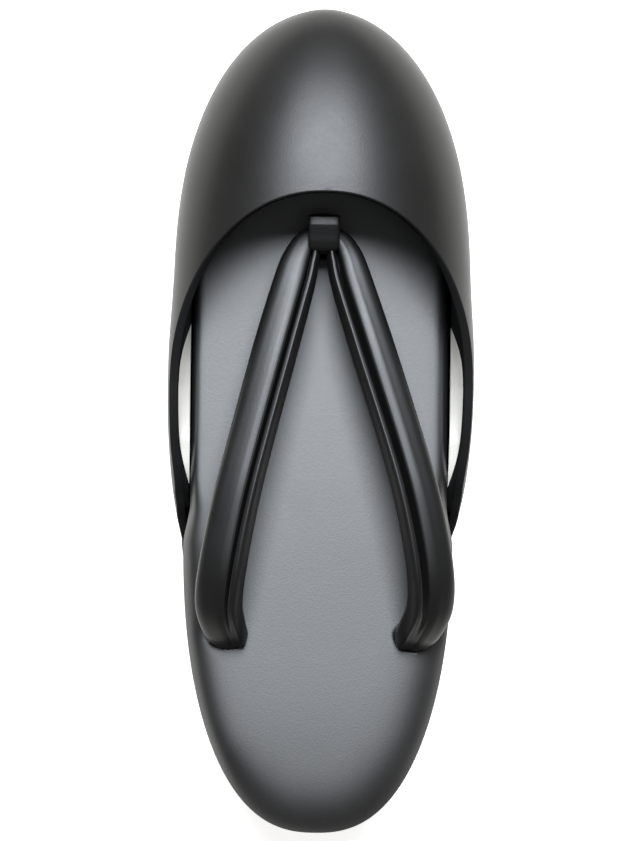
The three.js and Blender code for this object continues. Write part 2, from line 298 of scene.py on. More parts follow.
# %% Leatherette finishes
cover_leather = leatherette(
    "cover_leather", (0.0072, 0.0067, 0.0062, 1), (0.0124, 0.0116, 0.0108, 1),
    roughness=0.40, spread=0.10, grain=0.10, shine=0.29)
footbed_leather = leatherette(
    "footbed_leather", (0.0062, 0.006, 0.0058, 1), (0.0104, 0.010, 0.0097, 1),
    roughness=0.46, spread=0.08, grain=0.10, shine=1.0)
strap_leather = leatherette(
    "strap_leather", (0.0042, 0.004, 0.0039, 1), (0.0063, 0.006, 0.0058, 1),
    roughness=0.42, spread=0.10, grain=0.10, shine=0.40)
sole_leather = leatherette(
    "sole_leather", (0.0092, 0.009, 0.0086, 1), (0.0155, 0.015, 0.0145, 1),
    roughness=0.45, spread=0.10, grain=0.18, shine=0.5)
print("leatherette finishes: cover, footbed, strap, sole")

# %% [markdown]
# ## Lining, rubber and cut edges
# The wings of the cover are lined with a thin white knit, and under the shoe is a sheet of dull black
# rubber. Leatherette that is cut, or seen from its back, is a matt black without grain. The knit is two
# crossed waves, one thread every half millimetre, which is plenty for a lining that shows as a sliver, and
# the other two are fine dusts of noise.

# %% Knit of the lining
KNIT_PITCH = 0.00055
KNIT_WAVE = 2.0 * math.pi / KNIT_PITCH


def knit_lining():
    finish = Finish("white_knit")
    place = finish.coordinates()
    split = finish.add("ShaderNodeSeparateXYZ", {}, {0: place})
    wale = finish.add("ShaderNodeMath", {"operation": "SINE"}, {0: split("Y") * KNIT_WAVE})("Value")
    course = finish.add("ShaderNodeMath", {"operation": "SINE"}, {0: split("Z") * KNIT_WAVE})("Value")
    dust = finish.noise(place, scale=140.0)
    finish.surface(
        Base_Color=finish.mix(dust, (0.66, 0.63, 0.57, 1), (0.75, 0.72, 0.66, 1)),
        Roughness=0.82 + swing(dust, 0.1),
        Normal=finish.bump(wale * course, strength=0.35, depth=0.00015),
    )
    return finish.material


white_knit = knit_lining()
print("knit with a thread every %.2f mm" % (KNIT_PITCH / MM))


# %% Rubber and raw edges
def dull_rubber():
    finish = Finish("outsole_rubber")
    place = finish.coordinates()
    dust = finish.noise(place, scale=900.0, detail=5.0)
    cloud = finish.noise(place, scale=40.0)
    finish.surface(
        Base_Color=finish.mix(cloud, (0.010, 0.010, 0.010, 1), (0.022, 0.022, 0.021, 1)),
        Roughness=0.62 + swing(dust, 0.2),
        Normal=finish.bump(dust, strength=0.3, depth=0.0002),
    )
    return finish.material


# This matt black also makes the hem sheet of the wings, which is partly painted shade
def cut_edge():
    finish = Finish("raw_edge")
    dust = finish.noise(finish.coordinates(), scale=1500.0)
    finish.surface(
        Base_Color=finish.mix(dust, (0.006, 0.006, 0.006, 1), (0.010, 0.010, 0.010, 1)),
        Roughness=0.8 + swing(dust, 0.1),
        Specular_IOR_Level=0.1,
    )
    return finish.material


outsole_rubber = dull_rubber()
raw_edge = cut_edge()
print("finishes:", outsole_rubber.name, raw_edge.name)

# %% [markdown]
# ## Meshes from rows of points
# Every piece of the shoe is a grid of points in some way: rings of an outline, or sections of a wall or of
# a strap. Drawing them by hand would lose the sizes, so a few helpers join rows of numbered points with
# quads, weld what coincides and turn the result into a smooth object.


# %% Faces between rows
def quads_between(first, second, closed=False):
    """Faces between two equal rows of vertex numbers."""
    count = len(first) if closed else len(first) - 1
    faces = []
    for i in range(count):
        j = (i + 1) % len(first)
        faces.append((first[i], first[j], second[j], second[i]))
    return faces


def ring_faces(rings, count):
    """Faces between rings of count points that are numbered one after the other."""
    faces = []
    for k in range(rings - 1):
        lower = range(k * count, (k + 1) * count)
        upper = range((k + 1) * count, (k + 2) * count)
        faces += quads_between(lower, upper, closed=True)
    return faces


print("a strip between two rings of six points has %d faces" % len(ring_faces(2, 6)))

# %% A piece from points and faces
WELD = 0.002


def weld_points(work, distance):
    """Joins points that coincide and drops the faces that this flattens."""
    bmesh.ops.remove_doubles(work, verts=work.verts, dist=distance)
    bmesh.ops.dissolve_degenerate(work, edges=work.edges, dist=distance)


def piece_from(name, points, faces, material, weld=WELD, back=None):
    """A smooth piece from points in millimetres, welded, with its faces pointing out.

    back is a second material and the number of the first face that has it."""
    mesh = bpy.data.meshes.new(name)
    mesh.from_pydata([tuple(p) for p in to_frame(points)], [], faces)
    mesh.materials.append(material)
    if back:
        mesh.materials.append(back[0])
        for polygon in mesh.polygons[back[1]:]:
            polygon.material_index = 1
    work = bmesh.new()
    work.from_mesh(mesh)
    weld_points(work, weld * MM)
    bmesh.ops.recalc_face_normals(work, faces=work.faces)
    work.to_mesh(mesh)
    work.free()
    mesh.shade_smooth()
    print("%s: %d faces" % (name, len(mesh.polygons)))
    return in_scene(name, mesh)


print("points closer than %.3f mm are welded" % WELD)


# %% Outlines of the layers
def rounded_stations(start, end, steps, power):
    """Stations spaced so that a rounded end gets even steps, without the first."""
    angle = np.linspace(0.0, np.pi / 2.0, steps + 1)[1:]
    return start + (end - start) * np.sin(angle) ** (2.0 / power)


def both_sides(x, y):
    """Ring up the right side and back down the left."""
    return np.concatenate([np.stack([x, y], 1), np.stack([-x, y], 1)[-2:0:-1]])


def ring_halves(first, count):
    """Vertex numbers up the right side of such a ring and up its left, both with the two ends."""
    half = count // 2
    right_side = list(range(first, first + half + 1))
    left_side = [first] + list(range(first + count - 1, first + half - 1, -1))
    return right_side, left_side


def unit_rows(vectors):
    """Rows of vectors made one unit long."""
    return vectors / np.linalg.norm(vectors, axis=1, keepdims=True)


def closed_outline(layer, inset, per_end=64, per_side=56):
    """Ring round a layer of the sole, moved inwards square to an outline without the waist."""
    heel = rounded_stations(HEEL_ROUND, layer["heel"], per_end, HEEL_POWERS[0])[::-1]
    side = np.linspace(HEEL_ROUND, TOE_ROUND, per_side)
    toe = rounded_stations(TOE_ROUND, layer["toe"], per_end, TOE_POWERS[0])
    y = np.concatenate([heel, side, toe])
    ring = both_sides(half_width(layer, y), y)
    plain = both_sides(half_width(dict(layer, front=layer["rear"]), y), y)
    run = unit_rows(np.roll(plain, -1, axis=0) - np.roll(plain, 1, axis=0))
    return ring + inset * np.stack([-run[:, 1], run[:, 0]], 1)


print("an outline has %d points" % len(closed_outline(SOLE, 0.0)))

# %% [markdown]
# ## Footbed
# The footbed is a sheet of foam in a leatherette sleeve. Its edge is rolled over, the strap and the toe
# loop go down into holes in it, and beside the strap's ends the skin is pulled in a little. A cloth
# simulation would also swell the flat middle, which is firm on the real shoe, so the shape is worked out
# directly: rings of the outline for the rolled edge, and a height for every point of the top.

# %% Top of the footbed
CROWN = 0.7
HOLLOW, HOLLOW_MIDDLE, HOLLOW_HALF, HOLLOW_POWER = 0.75, 100.0, 60.0, 4
# A hole's wall, in half sizes of its mouth, how the pulled skin fades, and the least distance to divide by
POCKET_WALL, PULL_POWER, LEAST_AWAY = (0.82, 1.04), 1.5, 0.01
# Holes: middle, half sizes of the mouth, depth, how deep the skin on the outer side is pulled in, and how
# far that reaches, in half sizes of the mouth
HOLES = [
    {"x": 28.2, "y": 58.4, "rx": 5.4, "ry": 3.7, "depth": 5.4, "pull": 1.3, "reach": 0.6},
    {"x": -26.2, "y": 58.4, "rx": 4.6, "ry": 3.4, "depth": 5.4, "pull": 1.2, "reach": 0.7},
    {"x": 0.0, "y": 175.6, "rx": 4.6, "ry": 4.6, "depth": 5.2, "pull": 0.0, "reach": 0.6},
]


def footbed_top(x, y):
    """Height of the footbed's top with its crown, a slight hollow along it, and the holes."""
    height = footbed_at(y) + CROWN * (1.0 - (x / FOOTBED["rear"]) ** 2)
    height = height - HOLLOW * np.exp(-((y - HOLLOW_MIDDLE) / HOLLOW_HALF) ** HOLLOW_POWER)
    for hole in HOLES:
        away = np.hypot((x - hole["x"]) / hole["rx"], (y - hole["y"]) / hole["ry"])
        pocket = hole["depth"] * (1.0 - smoothstep(*POCKET_WALL, away))
        outward = np.sign(hole["x"]) * (x - hole["x"]) / hole["rx"] / np.maximum(away, LEAST_AWAY)
        fading = np.exp(-(np.maximum(away - 1.0, 0.0) / hole["reach"]) ** PULL_POWER)
        pulled = hole["pull"] * np.maximum(outward, 0.0) ** 2 * fading
        height = height - np.maximum(pocket, pulled)
    return height


print("footbed with %d holes" % len(HOLES))

# %% Rolled edge of the footbed
EDGE_DROP, EDGE_REACH = 5.7, 22.0
# Reach of the roll on the left and on the right, in front and round the heel, and what the heel end adds
FRONT_SOFT, HEEL_SOFT, SOFT_RANGE = (0.6, 1.0), (2.5, 4.5), (70.0, 106.0)
END_SOFT, END_SOFT_RANGE = 2.3, (0.0, 30.0)


def rolled_edge(inset, x, y):
    """Drop of the skin towards the outline, gentler round the heel and on the right."""
    rightness = smoothstep(-FOOTBED["rear"], FOOTBED["rear"], x)
    heel = 1.0 - smoothstep(*SOFT_RANGE, y)
    front_soft = FRONT_SOFT[0] + (FRONT_SOFT[1] - FRONT_SOFT[0]) * rightness
    heel_soft = HEEL_SOFT[0] + (HEEL_SOFT[1] - HEEL_SOFT[0]) * rightness
    soft = front_soft + (heel_soft - front_soft) * heel
    soft = soft + END_SOFT * (1.0 - smoothstep(*END_SOFT_RANGE, y))
    near, far = inset / soft, EDGE_REACH / soft
    return EDGE_DROP * (np.exp(-near) - np.exp(-far) * (1.0 + far - near))


print("the edge drops %.1f mm" % EDGE_DROP)

# %% Rings of the footbed
FOOTBED_POINTS = {"per_end": 140, "per_side": 64}
EDGE_RINGS = 66
# Rings under the rolled edge: inset, and depth below the top
UNDERSIDE = [(8.0, FOOTBED_THICK), (2.0, FOOTBED_THICK), (0.9, 8.5), (0.3, 7.4)]


def edge_rings():
    """Rings from the underside out to the outline, and in again over the rolled edge."""
    rings = []
    for inset, drop in UNDERSIDE:
        outline = closed_outline(FOOTBED, inset, **FOOTBED_POINTS)
        rings.append(np.column_stack([outline, footbed_at(outline[:, 1]) - drop]))
    for inset in EDGE_REACH * np.linspace(0.0, 1.0, EDGE_RINGS) ** 2:
        outline = closed_outline(FOOTBED, inset, **FOOTBED_POINTS)
        x, y = outline.T
        rings.append(np.column_stack([outline, footbed_top(x, y) - rolled_edge(inset, x, y)]))
    return rings


footbed_rings = edge_rings()
print("rings of the footbed:", len(footbed_rings))

# %% Make the footbed
COLUMNS = 52


def make_footbed(rings):
    """Closes the rings below with one face, and above with a grid from side to side."""
    points = list(rings)
    count = len(points[0])
    faces = ring_faces(len(points), count)
    faces.append(tuple(range(count)))
    right_side, left_side = (points[-1][numbers] for numbers in ring_halves(0, count))
    start = len(points) * count
    size = len(right_side)
    for share in np.linspace(0.0, 1.0, COLUMNS + 1):
        row = right_side + (left_side - right_side) * share
        row[:, 2] = footbed_top(row[:, 0], row[:, 1])
        points.append(row)
    for low in range(start, start + COLUMNS * size, size):
        faces += quads_between(range(low, low + size), range(low + size, low + 2 * size))
    return piece_from("footbed_pad", np.concatenate(points), faces, footbed_leather)


footbed_pad = make_footbed(footbed_rings)

# %% [markdown]
# ## Sole and outsole
# The platform is a wedge of foam wrapped in leatherette, higher at the heel. Under it is a rubber sheet,
# which shows as a thin dark lip in front of the cover. A bevelled extrusion would give both the same
# straight sides, so each is a stack of rings on one outline, which lets the wrap swell a little in the
# middle of its height.

# %% Platform and rubber sheet
TREAD = 0.9

# Rings of the wedge from below: inset, and share of the height
WEDGE_RINGS = [
    (2.0, 0.0), (1.2, 0.012), (0.9, 0.05), (0.35, 0.25), (0.0, 0.5), (0.3, 0.8), (0.7, 0.95), (1.2, 0.99),
    (2.2, 1.0)]
# Rings of the sheet from below: inset, and height above the underside of the tread
SHEET_RINGS = [
    (1.6, TREAD), (0.7, TREAD + 0.15), (0.2, TREAD + 0.6), (0.0, 1.9), (0.0, 3.1), (0.2, 3.6), (0.7, 3.9),
    (1.5, OUTSOLE_THICK)]


def wedge_height(y, share):
    low = ground_at(y) + OUTSOLE_THICK + GAP
    high = footbed_at(y) - FOOTBED_THICK - GAP
    return low + (high - low) * share


def sheet_height(y, rise):
    return ground_at(y) + rise


def make_slab(name, layer, rings, height_at, material):
    """Stacked rings on one outline, closed above and below."""
    points = []
    for inset, level in rings:
        outline = closed_outline(layer, inset)
        points.append(np.column_stack([outline, height_at(outline[:, 1], level)]))
    count = len(points[0])
    faces = ring_faces(len(rings), count)
    for first in (0, (len(rings) - 1) * count):
        faces += quads_between(*ring_halves(first, count))
    return piece_from(name, np.concatenate(points), faces, material)


sole_wrap = make_slab("sole_wrap", SOLE, WEDGE_RINGS, wedge_height, sole_leather)
outsole_sheet = make_slab("outsole_sheet", OUTSOLE, SHEET_RINGS, sheet_height, outsole_rubber)

# %% [markdown]
# ## Tread
# The rubber has rows of low bars that grip a wet floor. An array modifier could repeat one bar, but it
# would run over the rounded edge of the sheet. Geometry Nodes put one bar on each point of a chart
# instead, and the chart leaves out the points that would stand over the edge.

# %% Chart of the bars
# Distance between rows and along a row, half sizes of a bar, and how far it goes into the sheet
BAR_PITCH, BAR_STEP, BAR_HALF, BAR_WIDE, BAR_SINK = 5.2, 15.0, 6.2, 1.25, 0.02
TREAD_RANGE, TREAD_HALF, TREAD_MARGIN = (9.0, 238.0), 45.0, 4.0


def tread_chart():
    """Middles of the bars, in rows that are set half a step apart."""
    chart = []
    for row, y in enumerate(np.arange(*TREAD_RANGE, BAR_PITCH)):
        offset = BAR_STEP / 2.0 if row % 2 else 0.0
        room = min(half_width(OUTSOLE, y - BAR_WIDE), half_width(OUTSOLE, y + BAR_WIDE))
        for x in np.arange(-TREAD_HALF, TREAD_HALF + BAR_STEP / 2.0, BAR_STEP) + offset:
            if abs(x) + BAR_HALF + TREAD_MARGIN < room:
                chart.append((x, y, ground_at(y) + TREAD / 2.0 + BAR_SINK))
    return chart


bar_places = tread_chart()
print("bars in the tread:", len(bar_places))

# %% Node tree of the tread
BAR_SIDES, BAR_TAPER, BAR_DEPTH = 4, 0.86, 1.0
BAR_RADIUS = math.sqrt(2.0)


def bar_stub(tree):
    """A four-sided stub two units wide and one high about its middle, smaller below."""
    stub = tree.nodes.new("GeometryNodeMeshCone")
    stub.inputs["Vertices"].default_value = BAR_SIDES
    stub.inputs["Radius Top"].default_value = BAR_RADIUS
    stub.inputs["Radius Bottom"].default_value = BAR_RADIUS * BAR_TAPER
    stub.inputs["Depth"].default_value = BAR_DEPTH
    square = tree.nodes.new("GeometryNodeTransform")
    square.inputs["Rotation"].default_value = (0.0, 0.0, math.pi / BAR_SIDES)
    square.inputs["Translation"].default_value = (0.0, 0.0, -BAR_DEPTH / 2.0)
    tree.links.new(stub.outputs["Mesh"], square.inputs["Geometry"])
    return square


def tread_tree():
    """One bar, stretched to its size, on every point of the chart."""
    tree = bpy.data.node_groups.new("tread_bars", "GeometryNodeTree")
    tree.interface.new_socket("Geometry", in_out="INPUT", socket_type="NodeSocketGeometry")
    for name in ("Half length", "Half width", "Height"):
        tree.interface.new_socket(name, in_out="INPUT", socket_type="NodeSocketFloat")
    tree.interface.new_socket("Rubber", in_out="INPUT", socket_type="NodeSocketMaterial")
    tree.interface.new_socket("Geometry", in_out="OUTPUT", socket_type="NodeSocketGeometry")
    inlet = tree.nodes.new("NodeGroupInput")
    sizes = tree.nodes.new("ShaderNodeCombineXYZ")
    place = tree.nodes.new("GeometryNodeInstanceOnPoints")
    whole = tree.nodes.new("GeometryNodeRealizeInstances")
    paint = tree.nodes.new("GeometryNodeSetMaterial")
    outlet = tree.nodes.new("NodeGroupOutput")
    links = [
        (inlet, "Half length", sizes, "X"), (inlet, "Half width", sizes, "Y"),
        (inlet, "Height", sizes, "Z"), (inlet, "Geometry", place, "Points"),
        (bar_stub(tree), "Geometry", place, "Instance"),
        (sizes, "Vector", place, "Scale"), (place, "Instances", whole, "Geometry"),
        (whole, "Geometry", paint, "Geometry"), (inlet, "Rubber", paint, "Material"),
        (paint, "Geometry", outlet, "Geometry")]
    for source, output, target, entry in links:
        tree.links.new(source.outputs[output], target.inputs[entry])
    return tree


bar_tree = tread_tree()
print("nodes in the tread's tree:", len(bar_tree.nodes))


# %% Grow the tread
def apply_modifiers(piece):
    """Gives a piece the plain mesh that its modifiers make, and removes them."""
    evaluated = piece.evaluated_get(bpy.context.evaluated_depsgraph_get())
    mesh = bpy.data.meshes.new_from_object(evaluated)
    piece.modifiers.clear()
    piece.data = mesh
    mesh.name = piece.name


def grown_mesh(name, points, tree, values):
    """A plain mesh from a node tree on loose points, its inputs set by identifier."""
    seeds = bpy.data.meshes.new(name + "_points")
    seeds.from_pydata([tuple(p) for p in to_frame(points)], [], [])
    holder = in_scene(name, seeds)
    grow = holder.modifiers.new("grow", "NODES")
    grow.node_group = tree
    for item in tree.interface.items_tree:
        if item.in_out == "INPUT" and item.name in values:
            grow[item.identifier] = values[item.name]
    apply_modifiers(holder)
    return holder


tread_bars = grown_mesh("tread_bars", bar_places, bar_tree, {
    "Half length": BAR_HALF * MM, "Half width": BAR_WIDE * MM, "Height": TREAD * MM,
    "Rubber": outsole_rubber})
print("tread_bars: %d faces" % len(tread_bars.data.polygons))

# %% [markdown]
# ## Toe cover
# The cover is moulded leatherette about two and a half millimetres thick. It wraps the front of the
# platform, bulges a little above it, domes over the toes and runs back along both sides as two low wings.
# It could be sculpted from a sphere, but then its sizes would drift. Here one function gives its section
# at any station, from a short table, and the mouth is cut along an oval seen from above. The edge is cut,
# so the wall ends nearly square, with rounded corners.

# %% Sections of the cover
COVER_TOE = 244.2
# Station, half width, height of the widest place, rise of the crown, and the place of the edge: 1 is the
# crown, 0 the widest place and -1 the rim
COVER_SECTIONS = np.array([
    (86.0, 41.2, 15.0, 10.0, -0.6),
    (92.0, 42.2, 19.5, 13.0, -0.02),
    (100.0, 43.5, 25.5, 16.0, 0.115),
    (115.0, 44.9, 33.5, 21.0, 0.11),
    (140.0, 45.3, 37.5, 29.0, 0.11),
    (165.0, 44.0, 36.0, 33.0, 0.11),
    (205.0, 43.8, 31.0, 37.0, 0.11),
    (COVER_TOE, 43.8, 25.0, 37.0, 0.11),
])


def smooth_table(table, at):
    """Columns of a table as smooth curves of the first column."""
    stations = table[:, 0]
    slopes = np.gradient(table[:, 1:], stations, axis=0)
    i = int(np.clip(np.searchsorted(stations, at) - 1, 0, len(stations) - 2))
    gap = stations[i + 1] - stations[i]
    t = (at - stations[i]) / gap
    low, high = table[i, 1:], table[i + 1, 1:]
    start = (2 * t ** 3 - 3 * t ** 2 + 1) * low + (t ** 3 - 2 * t ** 2 + t) * gap * slopes[i]
    return start + (3 * t ** 2 - 2 * t ** 3) * high + (t ** 3 - t ** 2) * gap * slopes[i + 1]


print("sections of the cover:", len(COVER_SECTIONS))

# %% Section of the cover at a station
RIM_HALF = 40.7
MOUTH_CENTRE, MOUTH_REACH, MOUTH_HALF, MOUTH_POWERS = 133.0, 55.3, 44.7, (2.0, 2.15)
MOUTH_END = MOUTH_CENTRE + MOUTH_REACH
CROWN_START, CROWN_POWERS = 150.0, (2.0, 5.0)
DOME_POWER = 2.3


def cover_section(y):
    """Half width, its height, rise of the crown, half width and height of the rim, place of the edge."""
    wide, wide_z, rise, cut = smooth_table(COVER_SECTIONS, y)
    toe = round_off((y - TOE_ROUND) / (COVER_TOE - TOE_ROUND), TOE_POWERS)
    wide = wide * toe
    rise = rise * round_off((y - CROWN_START) / (COVER_TOE - CROWN_START), CROWN_POWERS)
    if y >= MOUTH_END:
        cut = 1.0
    elif y > MOUTH_CENTRE:
        edge = MOUTH_HALF * round_off((y - MOUTH_CENTRE) / MOUTH_REACH, MOUTH_POWERS)
        cut = math.acos(min(edge / wide, 1.0) ** (DOME_POWER / 2.0)) / (math.pi / 2.0)
    return wide, wide_z, rise, RIM_HALF * toe, ground_at(y) + OUTSOLE_THICK + GAP, cut


def cover_column(y, above, below):
    """Points of the right half of a section from the edge, or the crown, down to the rim."""
    wide, wide_z, rise, rim, rim_z, cut = cover_section(y)
    widest = min(cut, 0.0)
    ups = np.concatenate([np.linspace(cut, widest, above + 1), np.linspace(widest, -1.0, below + 1)[1:]])
    angle = np.clip(ups, 0.0, 1.0) * np.pi / 2.0
    over_x = wide * np.clip(np.cos(angle), 0.0, 1.0) ** (2.0 / DOME_POWER)
    over_z = wide_z + rise * np.sin(angle) ** (2.0 / DOME_POWER)
    under_x = wide + (rim - wide) * ups ** 2
    under_z = wide_z + (wide_z - rim_z) * ups
    x = np.where(ups >= 0.0, np.where(ups >= 1.0, 0.0, over_x), under_x)
    return np.column_stack([x, np.full(len(ups), y), np.where(ups >= 0.0, over_z, under_z)])


print("the mouth of the cover ends at %.1f mm" % MOUTH_END)

# %% Surface of the cover
WING_END = 86.0
WING_STEPS, MOUTH_STEPS, DOME_STEPS, MOUTH_MARGIN = 54, 56, 130, 0.4
ROWS_ABOVE, ROWS_BELOW = 44, 26


def mirrored_sheet(columns):
    """Welded open surface through columns of points, on the right and on the left.

    Columns from above down, in order from the heel to the toe, make faces that point outwards."""
    work = bmesh.new()
    for side in (RIGHT, LEFT):
        corners = [[work.verts.new((side * p[0], p[1], p[2])) for p in column] for column in columns]
        for first, second in zip(corners[:-1], corners[1:]):
            for j in range(len(first) - 1):
                loop = [first[j], first[j + 1], second[j + 1], second[j]]
                work.faces.new(loop if side == RIGHT else loop[::-1])
    weld_points(work, WELD)
    work.normal_update()
    return work


def cover_surface():
    """Outside of the cover, from the ends of the wings to the toe."""
    wings = np.linspace(WING_END, MOUTH_CENTRE, WING_STEPS)
    mouth = rounded_stations(MOUTH_CENTRE, MOUTH_END, MOUTH_STEPS, MOUTH_POWERS[0])
    dome = rounded_stations(TOE_ROUND, COVER_TOE, DOME_STEPS, TOE_POWERS[0])
    stations = np.concatenate([wings, mouth, dome[dome > MOUTH_END + MOUTH_MARGIN]])
    return mirrored_sheet([cover_column(y, ROWS_ABOVE, ROWS_BELOW) for y in stations])


cover_outside = cover_surface()
print("faces on the cover's outside:", len(cover_outside.faces))

# %% Edge of a wall
EDGE_POWER = 0.5


def signed_power(values, power):
    """Power of each value's size, with its sign kept."""
    return np.sign(values) * np.abs(values) ** power


def edge_points(outer, inner, away, bulge, steps):
    """Points between the two sides of a wall, nearly square to it and bulging away by a little."""
    angle = np.linspace(np.pi / 2.0, -np.pi / 2.0, steps + 1)[1:-1, None]
    level = 0.5 * signed_power(np.sin(angle), EDGE_POWER)
    return 0.5 * (outer + inner) + level * (outer - inner) + bulge * np.cos(angle) ** EDGE_POWER * away


print("an edge of three steps has %d points" % len(edge_points(0.0, 1.0, 1.0, 1.0, 3)))

# %% Wall of the cover
WALL, WALL_WELD = 2.6, 0.001
EDGE_BULGE, EDGE_STEPS = 0.5, 9


def walled(name, surface, wall, bulge, steps, material, inside):
    """A wall under an open surface, its free edges closed by strips of rounded points."""
    surface.verts.index_update()
    normal = np.array([v.normal for v in surface.verts])
    outer = np.array([v.co for v in surface.verts])
    inner = outer - wall * normal
    count = len(outer)
    points = [outer, inner]
    faces = [tuple(v.index for v in face.verts) for face in surface.faces]
    fronts = len(faces)
    faces += [tuple(i + count for i in loop[::-1]) for loop in faces]
    rims = [(loop.vert.index, loop.link_loop_next.vert.index)
            for edge in surface.edges if edge.is_boundary for loop in edge.link_loops]
    surface.free()
    following = dict(rims)
    leading = {b: a for a, b in rims}
    chains = {}
    for k, i in enumerate(following):
        run = outer[following[i]] - outer[leading[i]]
        away = np.cross(run / np.linalg.norm(run), normal[i])
        points.append(edge_points(outer[i], inner[i], away, bulge, steps))
        first = 2 * count + k * (steps - 1)
        chains[i] = [i] + list(range(first, first + steps - 1)) + [i + count]
    for a, b in rims:
        faces += quads_between(chains[b], chains[a])
    return piece_from(
        name, np.concatenate(points), faces, material, weld=WALL_WELD, back=(inside, fronts))


toe_cover_skin = walled(
    "toe_cover_skin", cover_outside, WALL, EDGE_BULGE, EDGE_STEPS, cover_leather, raw_edge)

# %% [markdown]
# ## Lining
# Along both sides a white knit hangs inside the wings and goes down beside the footbed, where it shows as
# a white sliver with a point at each end. The black leatherette is turned in over it at the wing's edge,
# and this hem widens to both ends until it covers the knit. Towards both ends, and past the knit's ends,
# the black sheet is also painted shade: it fills the gap between the wing and the footbed, which is in
# shadow there. Painting the inside of the cover in two colours would leave a ragged border between its
# faces, so knit and hem are two thin sheets that share a curve. Under the dome the inside is left dark.

# %% Slope of the lining
# Stations of the knit, and of the black hem, whose parts past the knit's ends are painted shade
KNIT_RANGE, HEM_AND_SHADE_RANGE = (102.5, 150.5), (95.0, 162.0)
HEM_LEAST, HEM_POWER = 0.1, 4.0
LINING_ROWS, LINING_COLUMNS = 70, 10
# Start below the wing's edge and within its wall, end below the footbed's top and beside it, least fall
LINING_DROP, LINING_TUCK, LINING_SINK, LINING_GAP, LEAST_FALL = 3.6, 0.3, 1.6, 0.4, 1.5


def hem_and_shade_share(y):
    """How far down from the wing's edge to the footbed the black hem reaches, as a share; towards the ends
    this black sheet is painted shade.
    """
    middle = 0.5 * (KNIT_RANGE[0] + KNIT_RANGE[1])
    along = abs(y - middle) / (KNIT_RANGE[1] - middle)
    return min(1.0, HEM_LEAST + (1.0 - HEM_LEAST) * along ** HEM_POWER)


def lining_column(y, start, end):
    """Points from below up, between two shares of the way from the wing's edge down to the footbed."""
    edge = cover_column(y, 1, 1)[0]
    high = np.array([edge[0] - WALL + LINING_TUCK, y, edge[2] - LINING_DROP])
    low_z = min(footbed_at(y) - LINING_SINK, high[2] - LEAST_FALL)
    low = np.array([half_width(FOOTBED, y) + LINING_GAP, y, low_z])
    return high + (low - high) * np.linspace(end, start, LINING_COLUMNS + 1)[:, None]


print("the hem covers %.0f %% of the lining at its middle" % (100.0 * HEM_LEAST))

# %% Knit of the wings, and the hem that is partly painted shade
LINING, LINING_BULGE, LINING_EDGE_STEPS = 0.4, 0.1, 3

knit_sheet = mirrored_sheet(
    [lining_column(y, hem_and_shade_share(y), 1.0) for y in np.linspace(*KNIT_RANGE, LINING_ROWS + 1)])
toe_cover_lining = walled(
    "toe_cover_lining", knit_sheet, LINING, LINING_BULGE, LINING_EDGE_STEPS, white_knit, white_knit)
# The hem sheet is matt black; towards its ends it is painted shade, filling the shaded gap beside the
# footbed
hem_and_shade_sheet = mirrored_sheet(
    [lining_column(y, 0.0, hem_and_shade_share(y)) for y in np.linspace(*HEM_AND_SHADE_RANGE, LINING_ROWS + 1)])
toe_cover_hem_and_shade = walled(
    "toe_cover_hem_and_shade", hem_and_shade_sheet, LINING, LINING_BULGE, LINING_EDGE_STEPS, raw_edge, raw_edge)

# %% [markdown]
# ## Strap
# The strap is two bands of stuffed leatherette. Each is folded along its length, so a deep groove parts a
# wide outer roll from a narrow inner one. The bands meet at the toe, arch over the foot and go down into
# holes beside the heel. A curve with a bevel object would keep one section from end to end, but here the
# groove closes towards the holes, so each band is a section swept in code along a table of stations.

# %% Section of a band
# In shares of the half width, outwards, and of the half thickness, upwards: over the wide outer roll, down
# its edge, along the bottom of the groove, over the narrow inner roll and back below
OUTER_ROLL = [(0.85, -0.78), (1.0, -0.15), (0.97, 0.28), (0.86, 0.66), (0.62, 0.88), (0.28, 0.975)]
# Measured across from where the flat face of the outer roll ends
ROLL_EDGE = [(0.27, 1.0), (0.14, 0.985), (0.0, 0.935), (-0.09, 0.86), (-0.15, 0.68)]
# Measured across from halfway between the two rolls
GROOVE_BOTTOM = [(0.0, -0.3), (-0.04, 0.25)]
INNER_ROLL = [
    (-0.55, 0.74), (-0.6, 0.88), (-0.68, 0.925), (-0.765, 0.915), (-0.87, 0.7), (-0.965, 0.22),
    (-1.0, -0.25), (-0.85, -0.78), (-0.3, -1.0), (0.3, -1.0)]
# Where the face ends on each band, and points of the smooth curve to each point here
FACE_END = {RIGHT: -0.13, LEFT: -0.27}
POINTS_BETWEEN = 6


def moved_across(points, distance):
    """Points of a section moved outwards by a share."""
    return [(across + distance, height) for across, height in points]


def band_profile(side):
    """The section as a smooth closed curve, with the groove where the outer roll's face ends."""
    roll_edge = moved_across(ROLL_EDGE, FACE_END[side])
    bottom = 0.5 * (roll_edge[-1][0] + INNER_ROLL[0][0])
    outline = np.array(OUTER_ROLL + roll_edge + moved_across(GROOVE_BOTTOM, bottom) + INNER_ROLL)
    # Points repeated at both ends let the curve close without a kink
    ring = np.concatenate([outline[-2:], outline, outline[:3]])
    rows = np.column_stack([np.arange(len(ring)) - 2, ring])
    along = np.linspace(0.0, len(outline), len(outline) * POINTS_BETWEEN, endpoint=False)
    return np.array([smooth_table(rows, at) for at in along]).T


print("points round a band:", band_profile(RIGHT).shape[1])

